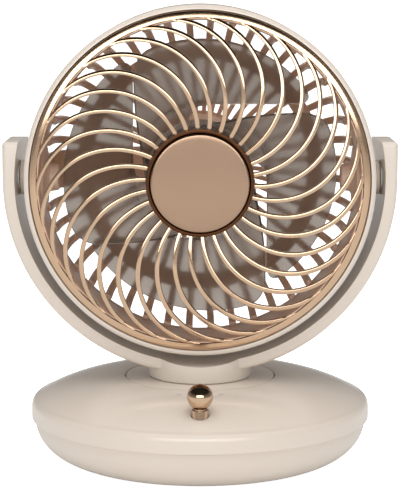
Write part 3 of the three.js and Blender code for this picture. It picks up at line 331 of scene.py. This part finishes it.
# The film on a worked metal: fine rings left by the lathe, slow stains, and faint smudges.
film = bpy.data.node_groups.new("worked_metal", "ShaderNodeTree")
film.interface.new_socket("Ring Size", in_out="INPUT", socket_type="NodeSocketFloat")
for output in ("Rings", "Stain", "Smudge"):
    film.interface.new_socket(output, in_out="OUTPUT", socket_type="NodeSocketFloat")
given = fitted(film, "NodeGroupInput")
where = fitted(film, "ShaderNodeTexCoord")
centred = fitted(film, "ShaderNodeMapping", {"Vector": where.outputs["Object"], "Location": (0, 0, -0.199)})
rings = fitted(film, "ShaderNodeTexWave", {"Vector": centred.outputs["Vector"],
               "Scale": given.outputs["Ring Size"], "Distortion": 1.5, "Detail": 2.0, "Detail Scale": 3.0},
               wave_type="RINGS", rings_direction="Y")
stain = fitted(film, "ShaderNodeTexNoise", {"Vector": where.outputs["Object"], "Scale": 22.0,
               "Detail": 4.0, "Roughness": 0.55})
smudge = fitted(film, "ShaderNodeTexNoise", {"Vector": where.outputs["Object"], "Scale": 90.0,
                "Detail": 5.0, "Roughness": 0.7})
fitted(film, "NodeGroupOutput", {"Rings": rings.outputs["Fac"], "Stain": stain.outputs["Fac"],
                                 "Smudge": smudge.outputs["Fac"]})


# A metal: two close tones, a gloss that the smudges dull, and the lathe's rings as relief.
def metal(name, tone, deeper, rough, ring_size=900, relief=0.05, haze=0.04, **plain):
    finish = bpy.data.materials.new(name)
    finish.use_nodes = True
    tree = finish.node_tree
    tree.nodes.clear()
    surface = fitted(tree, "ShaderNodeGroup", node_tree=film)
    surface.inputs["Ring Size"].default_value = ring_size
    colour = fitted(tree, "ShaderNodeMix", {"Factor": surface.outputs["Stain"]}, data_type="RGBA")
    colour.inputs["A"].default_value = (*tone, 1)
    colour.inputs["B"].default_value = (*deeper, 1)
    matt = fitted(tree, "ShaderNodeMapRange", {"Value": surface.outputs["Smudge"], "From Min": 0.3,
                  "From Max": 0.7, "To Min": rough - haze, "To Max": rough + haze})
    bump = fitted(tree, "ShaderNodeBump", {"Height": surface.outputs["Rings"], "Strength": relief,
                  "Distance": 0.00005})
    shader = fitted(tree, "ShaderNodeBsdfPrincipled", {"Base Color": colour.outputs["Result"],
                    "Roughness": matt.outputs["Result"], "Normal": bump.outputs["Normal"],
                    "Metallic": 1.0,
                    **{socket.replace("_", " "): value for socket, value in plain.items()}})
    fitted(tree, "ShaderNodeOutputMaterial", {"Surface": shader.outputs["BSDF"]})
    return finish


steel = metal("zinc_steel", (0.52, 0.53, 0.54), (0.44, 0.44, 0.45), 0.32)
pin = eased(turned([(0, 93), (1, 93), (1, 107), (0, 107)], 24), 0.3)
bmesh.ops.transform(pin, matrix=upright_to_back, verts=pin.verts)
piece("socket_pin", pin, steel, "base", "steel")

# ------------------------------------------------------------ screws that show
# Pan-head screws with a cross recess: four under the base, four in the back of the yoke.
pivot = 199
yoke_screw_circle = 130.55


def pan_screw(head, height, shank, length):
    crown = [(0, 0), (head * 0.55, height * 0.08), (head * 0.85, height * 0.3), (head, height * 0.62),
             (head, height), (shank, height), (shank, height + length), (0, height + length)]
    screw = turned(crown, 36)
    for turn in (0, 90):
        slot = bmesh.new()
        bmesh.ops.create_cube(slot, size=1)
        bmesh.ops.scale(slot, vec=(head * 1.1 * mm, head * 0.24 * mm, height * 1.1 * mm), verts=slot.verts)
        bmesh.ops.rotate(slot, verts=slot.verts, matrix=Matrix.Rotation(math.radians(turn + 20), 3, "Z"))
        screw = carved(screw, slot)
    return screw


for n, (x, y) in enumerate(base_screw_spots, 1):
    screw = shifted(pan_screw(3.2, 2, 1.7, 22), x, y, 9.7)
    piece(f"bowl_screw_{n}", screw, steel, "base", "steel", f"base_screw_{n}")

yoke_screw_spots = [(yoke_screw_circle * math.cos(a), pivot - yoke_screw_circle * math.sin(a))
                    for a in (math.radians(slope) for slope in (28, 60, 120, 152))]
for n, (x, z) in enumerate(yoke_screw_spots, 1):
    screw = pan_screw(2.8, 2, 1.4, 24)
    bmesh.ops.rotate(screw, verts=screw.verts, matrix=Matrix.Rotation(math.radians(90), 3, "X"))
    piece(f"shell_screw_{n}", shifted(screw, x, 17.3, z), steel, "swivel", "steel", f"yoke_screw_{n}")

# ------------------------------------------------------------ knob, collar and lamps
# A gold-plated ball on a short stem that turns and clicks down, in a plated collar, with two
# clear light pipes behind it on the cover.
gold = metal("rose_gold_plate", (0.64, 0.44, 0.29), (0.60, 0.41, 0.265), 0.13, 260, 0.02, Coat_Weight=0.5,
             Coat_Roughness=0.06)
ball_radius, ball_height, stem_radius = 8.7, 64.43, 4.8
foot_angle = math.asin(stem_radius / ball_radius)
ball = [(stem_radius * n / 3, 57.17) for n in range(3)] + [
    (ball_radius * math.sin(a), ball_height - ball_radius * math.cos(a))
    for a in (foot_angle + (math.pi - foot_angle) * n / 40 for n in range(41))]
ball[-1] = (0, 73.13)
piece("ball", shifted(turned(ball, 96), 0, knob_y, 0), gold, "knob", "rose_gold_plate", "knob_ball")
stem = turned([(0, 49.7), (stem_radius, 49.7), (stem_radius, 56.6), (4.5, 56.87), (2.5, 56.87), (2.5, 57.6),
               (0, 57.6)], 64)
piece("stem", shifted(stem, 0, knob_y, 0), gold, "knob", "rose_gold_plate", "knob_shaft")
collar = turned([(5.1, 47.4), (7.9, 47.4), (7.9, 49), (5.9, 49), (5.9, 56.03), (5.1, 56.03)], 64)
piece("collar", shifted(eased(collar, 0.25), 0, knob_y, 0), gold, "base", "rose_gold_plate", "knob_collar")

clear = plastic("clear_lens", (0.90, 0.88, 0.84), (0.84, 0.82, 0.78), 0.14, 600, 0.05,
                Transmission_Weight=0.25, IOR=1.49)
for side, name in ((-1, "left"), (1, "right")):
    tip = dome(math.hypot(lamp_x, lamp_y)) + 0.1
    pipe = turned([(0, 43.3), (1.3, 43.3), (1.3, tip - 0.4), (1.1, tip - 0.12), (0.7, tip),
                   (0, tip + 0.05)], 32)
    piece(f"lens_{name}", shifted(pipe, side * lamp_x, lamp_y, 0), clear, "base", "clear_lens",
          f"lamp_pipe_{name}")

# ------------------------------------------------------------ turntable
# A cream disc that fills the recess of the cover with a hair of gap, and carries the yoke.
disc = turned([(9, 46.3), (15, 46.3), (15, 56.1), (52.3, 56.1), (52.3, 58.9), (9, 58.9)], 200)
piece("turntable_disc", eased(disc, 0.7, 3), cream, "swivel", "cream_plastic", "turntable")

# ------------------------------------------------------------ yoke
# A cream U in two hollow halves that meet in a seam over the middle, with a round neck below.
# Its inside follows the drum and opens out a little towards the front.
yoke_radius, yoke_depth = 135.5, 48
slab = bmesh.new()
bmesh.ops.create_circle(slab, cap_ends=False, segments=240, radius=yoke_radius * mm)
bmesh.ops.delete(slab, geom=[v for v in slab.verts if v.co.y > 1e-6], context="VERTS")
ends = [v for v in slab.verts if len(v.link_edges) == 1]
tops = bmesh.ops.extrude_vert_indiv(slab, verts=ends)["verts"]
bmesh.ops.translate(slab, verts=tops, vec=(0, 26.6 * mm, 0))
slab.edges.new(tops)
bmesh.ops.contextual_create(slab, geom=slab.edges[:])
lifted = bmesh.ops.extrude_face_region(slab, geom=slab.faces[:])["geom"]
bmesh.ops.translate(slab, verts=[v for v in lifted if isinstance(v, bmesh.types.BMVert)],
                    vec=(0, 0, yoke_depth * mm))
bmesh.ops.translate(slab, verts=slab.verts, vec=(0, 0, -yoke_depth / 2 * mm))
bmesh.ops.recalc_face_normals(slab, faces=slab.faces)
eased(slab, 3, 6, 40)
stand_up = Matrix.Translation((0, 0, pivot * mm)) @ Matrix.Rotation(math.radians(90), 4, "X")
bmesh.ops.transform(slab, matrix=stand_up, verts=slab.verts)
neck = turned([(0, 59.2), (36.1, 59.2), (36.1, 87), (0, 87)], 200)
eased(neck, 0.9, 3)
yoke = carved(slab, neck, "UNION")
head_room = turned([(0, -60), (125.6 + 3.9, -60), (125.6 - 3.9, 60), (0, 60)], 320)
lie_back = Matrix.Translation((0, 0, pivot * mm)) @ Matrix.Rotation(math.radians(-90), 4, "X")
bmesh.ops.transform(head_room, matrix=lie_back, verts=head_room.verts)
yoke = carved(yoke, head_room)
bores = [(turned([(0, 15), (3.1, 15), (3.1, 40), (0, 40)], 32), x, z) for x, z in yoke_screw_spots]
for half, side in (("front", 1), ("rear", -1)):
    shell = yoke.copy()
    cut = bmesh.ops.bisect_plane(shell, geom=shell.verts[:] + shell.edges[:] + shell.faces[:], dist=1e-7,
                                 plane_co=(0, -side * 0.15 * mm, 0), plane_no=(0, side, 0), clear_outer=True)
    rim = [e for e in cut["geom_cut"] if isinstance(e, bmesh.types.BMEdge)]
    bmesh.ops.triangle_fill(shell, use_beauty=True, use_dissolve=False, edges=rim)
    if half == "rear":
        for bore, x, z in bores:
            bmesh.ops.rotate(bore, verts=bore.verts, matrix=Matrix.Rotation(math.radians(-90), 3, "X"))
            shell = carved(shell, shifted(bore, x, 0, z))
    piece(f"yoke_{half}", shell, cream, "swivel", "cream_plastic", f"yoke_{half}_shell")
yoke.free()

# ------------------------------------------------------------ pivots
# On each side a hollow steel pin through the drum's wall runs in a plain bush in the yoke, with
# a rubber friction washer, coloured like the drum, that holds the tilt.
acetal = plastic("white_bush", (0.74, 0.73, 0.69), (0.68, 0.67, 0.63), 0.45)
drum_rubber = plastic("pale_rubber", (0.62, 0.545, 0.47), (0.58, 0.51, 0.44), 0.62, 2400, 0.2)
for side, name in ((-1, "left"), (1, "right")):
    to_side = Matrix.Translation((0, 0, pivot * mm)) @ Matrix.Rotation(math.radians(side * 90), 4, "Y")
    for kind, node, outline, finish, body, slot in (
            ("bush", "pivot_bush", [(6.3, 125.2), (9, 125.2), (9, 132.3), (6.3, 132.3)], acetal, "swivel",
             "acetal"),
            ("pin", "pivot_pin", [(3, 113.9), (9, 113.9), (9, 116.7), (6, 116.7), (6, 132), (3, 132)], steel,
             "head", "steel"),
            ("washer", "friction_washer", [(6.3, 120.7), (12, 120.7), (12, 124.4), (6.3, 124.4)],
             drum_rubber, "head", "rubber")):
        shape = eased(turned(outline, 64), 0.35)
        bmesh.ops.transform(shape, matrix=to_side, verts=shape.verts)
        piece(f"side_{kind}_{name}", shape, finish, body, slot, f"{node}_{name}")


# ------------------------------------------------------------ drum
# The head's cream drum: a rounded front edge, a straight wall, and a back edge that curls in,
# with a round boss over each pivot.
def faced(outline, steps=240):
    shape = turned(outline, steps)
    bmesh.ops.transform(shape, matrix=lie_back, verts=shape.verts)
    return shape


front_edge = [(117 + 3 * math.sin(a), -32.5 - 3 * math.cos(a))
              for a in (math.radians(90) * n / 10 for n in range(11))]
curl = [(111 + 9 * math.cos(a), 11 + 9.4 * math.sin(a))
        for a in (math.radians(90) * n / 14 for n in range(15))]
inside = [(111 + 6.5 * math.cos(a), 10.4 + 7.5 * math.sin(a))
          for a in (math.radians(90) * (1 - n / 10) for n in range(11))]
drum = faced([(116.6, -35.2), (116.8, -35.5)] + front_edge + curl + inside + [(117.5, -27.5), (116.6, -28.5)])
for side in (-1, 1):
    boss = eased(turned([(6.3, 117.4), (13, 117.4), (13, 120.4), (6.3, 120.4)], 72), 0.3)
    bmesh.ops.transform(boss, verts=boss.verts, matrix=Matrix.Translation((0, 0, pivot * mm))
                        @ Matrix.Rotation(math.radians(side * 90), 4, "Y"))
    drum = together(drum, boss)
piece("drum", drum, cream, "head", "cream_plastic", "housing")

# ------------------------------------------------------------ front grille
# A plated ring with thirty curved ribs that crest half way out and sweep round into it, and a
# copper hub ring that they spring from, painted nearly black to stand for the shade on it.
rib_count, rib_lean = 30, 2.4
ring = faced([(111.3, -27), (111.3, -35.3), (111.5, -35.5), (113.3, -35.2), (115.2, -34.8), (115.8, -34.5),
              (116.1, -33.9), (116.1, -27), (109.5, -27)])
start, end = 35.5, 113.7
bend = (end ** 2 - start ** 2) / (2 * end)
sweep = math.pi - math.atan2(start, bend)


def crest(radius):
    if radius < 66:
        return -41.3 + 2.9 * ((66 - radius) / 30) ** 2
    return -41.3 + 6.4 * (min(radius - 66, 46) / 46) ** 1.8


rib = bmesh.new()
section = [(1.5, 4.6), (1.5, 0.6), (1.4, 0.25), (1.1, 0.05), (0, 0), (-1.1, 0.05), (-1.4, 0.25), (-1.5, 0.6),
           (-1.5, 4.6)]
corners = [rib.verts.new((start * mm, depth * mm, across * mm)) for across, depth in section]
for near, far in zip(corners, corners[1:] + corners[:1]):
    rib.edges.new((near, far))
bmesh.ops.spin(rib, geom=rib.verts[:] + rib.edges[:], cent=(start * mm, 0, bend * mm), axis=(0, -1, 0),
               angle=sweep, steps=40)
bmesh.ops.holes_fill(rib, edges=[e for e in rib.edges if e.is_boundary], sides=0)
for v in rib.verts:
    radius = math.hypot(v.co.x, v.co.z) / mm
    v.co.y += crest(radius) * mm
    along = max((radius - start) / (end - start), 0) ** 1.5
    v.co.rotate(Matrix.Rotation(math.radians(-rib_lean) * max(1 - along, 0) ** 2, 3, "Y"))
bmesh.ops.rotate(rib, verts=rib.verts, matrix=Matrix.Rotation(math.radians(-90), 3, "Y"))
bmesh.ops.spin(rib, geom=rib.faces[:], cent=(0, 0, 0), axis=(0, 1, 0),
               angle=math.tau * (rib_count - 1) / rib_count, steps=rib_count - 1, use_duplicate=True)
shifted(rib, 0, 0, pivot)
piece("grille_wires", together(ring, rib), gold, "head", "rose_gold_plate", "front_grille")

# The hub ring is the cap's copper painted nearly black: painted shade and painted dark reflections, not the
# copper's own tone.
copper_painted_shade = metal("hub_copper_painted_shade", (0.10, 0.04, 0.018), (0.08, 0.031, 0.013), 0.25, 500, 0.04)
hub = faced([(0, -36.4), (34.4, -36.4), (34.4, -41), (36.5, -41), (36.5, -34), (0, -34)], 160)
piece("hub_ring", eased(hub, 0.35), copper_painted_shade, "head", "copper_disc")

# ------------------------------------------------------------ cap of the grille
# A satin copper disc, slightly crowned, with a rolled edge that catches the light.
copper = metal("satin_copper", (0.40, 0.268, 0.184), (0.388, 0.26, 0.178), 0.22, 700, 0.03, haze=0.01)
crown = [(32.2 * n / 12, -42.35 + 0.45 * (n / 12) ** 2) for n in range(13)]
rolled = [(32.2 + 1.6 * math.sin(a), -40.3 - 1.6 * math.cos(a))
          for a in (math.radians(90) * n / 6 for n in range(1, 7))]
cap = faced(crown + rolled + [(33.8, -39.6), (30.8, -39.4), (30.8, -36.7), (0, -36.7)], 200)
piece("grille_disc", cap, copper, "head", "copper_disc", "grille_cap")

# ------------------------------------------------------------ duct lining and rear basket
# The brown wall round the blades, and behind it a deep basket of slats that run from the rim
# over a shoulder and a hoop to the tower of the motor, with one broad web for the wires.
# Both browns are painted light: the basket's brown is lifted well above the plastic's own tone to stand for
# light in the dim head, and the lining is a lighter copy of it that paints in the light it catches from the
# front.
lining_brown_painted_lit = plastic("lining_moulding_painted_light", (0.80, 0.56, 0.42), (0.77, 0.53, 0.395), 0.36)
brown = plastic("basket_moulding_painted_light", (0.64, 0.42, 0.295), (0.60, 0.39, 0.27), 0.3)
lining = faced([(109.8, 9), (112, 9), (112.9, -26.7), (110.9, -26.9), (111, -34.6), (110.2, -34.8),
                (109.3, -26)])
piece("duct_wall", eased(lining, 0.3, 2), lining_brown_painted_lit, "head", "brown_plastic", "duct_lining")

rim = faced([(109.8, 9.3), (114.6, 9.3), (114.6, 15.2), (112.8, 17.1), (109.8, 17.1)])
hoop = faced([(79, 71.6), (90, 64), (90, 67.4), (79, 75.4)])
tower = faced([(0, 34), (33.5, 34), (33.5, 88), (38, 88), (38, 91), (31, 91), (31, 37), (0, 37)], 120)
for part in (rim, hoop, tower):
    eased(part, 0.5)


# One bar of the basket, from the tower out over the hoop and the shoulder to the rim.
def bar(root, front, back, width):
    fore = [(root, front), (52, 84.4), (68, 78.4), (79, 72.4), (84.5, 68.8), (91, 63.4), (97, 57.2),
            (101, 51.4), (103.8, 44.6), (105.6, 36), (106.7, 25), (107.4, 12)]
    aft = [(110.6, 12), (109.9, 26), (108.8, 37.6), (107, 46.8), (104.2, 54.2), (99.8, 60.8), (93.4, 67.2),
           (86, 72.6), (80, 76), (69, 81.2), (53, 86.8), (root, back)]
    bm = bmesh.new()
    points = [bm.verts.new((radius * mm, y * mm, -width / 2 * mm)) for radius, y in fore + aft]
    side = bm.faces.new(points)
    swept = bmesh.ops.extrude_face_region(bm, geom=[side])["geom"]
    bmesh.ops.translate(bm, verts=[v for v in swept if isinstance(v, bmesh.types.BMVert)],
                        vec=(0, 0, width * mm))
    bmesh.ops.recalc_face_normals(bm, faces=bm.faces)
    return eased(bm, 0.5, 2, 50)


slat_places, slat_count = 44, 42
slat_root, slat_reach = 36, 74.6
slats = bar(slat_root, 88.4, 90.4, 5.2)
for v in slats.verts:
    v.co.z *= 0.58 + 0.42 * (v.co.x / mm - slat_root) / slat_reach
first_slat = math.pi * (slat_places + 3) / slat_places
bmesh.ops.rotate(slats, verts=slats.verts, matrix=Matrix.Rotation(first_slat, 3, "Y"))
bmesh.ops.spin(slats, geom=slats.faces[:], cent=(0, 0, 0), axis=(0, 1, 0),
               angle=math.tau * (slat_count - 1) / slat_places, steps=slat_count - 1, use_duplicate=True)
web = bar(34, 88, 90.8, 27)
bmesh.ops.rotate(web, verts=web.verts, matrix=Matrix.Rotation(math.pi, 3, "Y"))
for part in (slats, web):
    shifted(part, 0, 0, pivot)
piece("basket", together(rim, hoop, tower, slats, web), brown, "head", "brown_plastic", "rear_basket")

arcs = [math.radians(90) * n / 16 for n in range(17)]
shell_out = [(40 * math.cos(a), 91.3 + 12 * math.sin(a) ** 0.8) for a in arcs[:-1]] + [(0, 103.3)]
shell_in = [(0, 101.3)] + [(38 * math.cos(a), 91.3 + 10 * math.sin(a) ** 0.8) for a in arcs[-2::-1]]
piece("back_cap", faced(shell_out + shell_in + [(39, 91.3)], 160), brown, "head", "brown_plastic", "rear_cap")

# ------------------------------------------------------------ pivot covers
# Inside the duct a brown moulded cover hides the end of each pivot pin: a low round swelling of
# the wall with a short stud in its middle, clear of the tips of the blades.
for side, name in ((-1, "left"), (1, "right")):
    swelling = turned([(0, 97.8), (7.8, 97.8), (8.7, 98.2), (9.2, 99.2), (9.8, 104), (12, 105.4), (21, 106.4),
                       (25, 107.4), (26.5, 109.4), (26.5, 111.5), (0, 111.5)], 96)
    to_side = Matrix.Translation((0, 0, pivot * mm)) @ Matrix.Rotation(math.radians(side * 90), 4, "Y")
    bmesh.ops.transform(swelling, matrix=to_side, verts=swelling.verts)
    # The covers take the lining's lighter brown, which is painted light.
    piece(f"pivot_cover_{name}", swelling, lining_brown_painted_lit, "head", "brown_plastic")

# ------------------------------------------------------------ impeller
# Four broad blades of smoky plastic on a cup-shaped hub, moulded in one. The light comes
# through them and blurs the basket behind.
smoke = plastic("smoky_moulding", (0.53, 0.465, 0.41), (0.51, 0.45, 0.395), 0.2, 900, 0.0,
                Transmission_Weight=0.9, IOR=1.35)
hub = faced([(3.3, -24), (33.2, -24), (36.2, -22.8), (37.2, -20), (37.2, 42), (35.2, 42), (35.2, -20),
             (33.2, -21.6), (8, -21.6), (8, -13.6), (3.3, -13.6)], 120)
eased(hub, 0.6, 2)
blade_count = 4
blade = bmesh.new()
bmesh.ops.create_grid(blade, x_segments=72, y_segments=28, size=0.5)
for v in blade.verts:
    across, out = 0.5 + 0.5 * math.sin(math.pi * v.co.x), v.co.y + 0.5
    corner = max(12 - 145 * min(across, 1 - across), 0)
    radius = 36.2 + (59.3 - 12 + math.sqrt(144 - corner ** 2)) * out
    swing = 44.9 - 8.3 * max(1 - max(radius - 37.2, 0) / 58.3, 0) ** 3
    front = math.pi - math.acos(min(swing / radius, 1))
    back = math.asin(min(47.9 / radius, 1)) + max(47.9 - radius, 0) / 47.9
    angle = front + (back - front) * across
    lift = -13 + 53 * across + 3.5 * math.sin(math.pi * across)
    v.co = (radius * math.cos(angle) * mm, (lift - 0.9) * mm, radius * math.sin(angle) * mm)
bmesh.ops.recalc_face_normals(blade, faces=blade.faces)
bmesh.ops.solidify(blade, geom=blade.faces[:], thickness=1.8 * mm)
bmesh.ops.recalc_face_normals(blade, faces=blade.faces)
eased(blade, 0.5, 2, 50)
bmesh.ops.spin(blade, geom=blade.faces[:], cent=(0, 0, 0), axis=(0, 1, 0),
               angle=math.tau * (blade_count - 1) / blade_count, steps=blade_count - 1, use_duplicate=True)
shifted(blade, 0, 0, pivot)
piece("rotor", together(hub, blade), smoke, "blades", "smoke_plastic", "impeller")

# ------------------------------------------------------------ pieces inside
# What is closed in keeps its plain solid, and gets the finish of the real thing.
iron = metal("cast_iron", (0.09, 0.09, 0.092), (0.06, 0.06, 0.062), 0.6)
can = metal("motor_can", (0.46, 0.47, 0.48), (0.38, 0.39, 0.4), 0.4)
board = plastic("green_board", (0.02, 0.11, 0.05), (0.015, 0.085, 0.04), 0.4)
inner_finishes = {
    "ballast_plate": iron, "control_board": board, "encoder_body": black, "click_plate": acetal,
    "swivel_washer": acetal, "swivel_gear": acetal, "drive_pinion": acetal, "drive_motor": can,
    "motor_bracket": steel, "fan_motor": can, "motor_shaft": steel, "impeller_nut": acetal}
for node, finish in inner_finishes.items():
    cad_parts[node].material_slots[0].material = finish
for node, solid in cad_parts.items():
    if "_screw_" in node and not solid.hide_render:
        solid.material_slots[0].material = steel
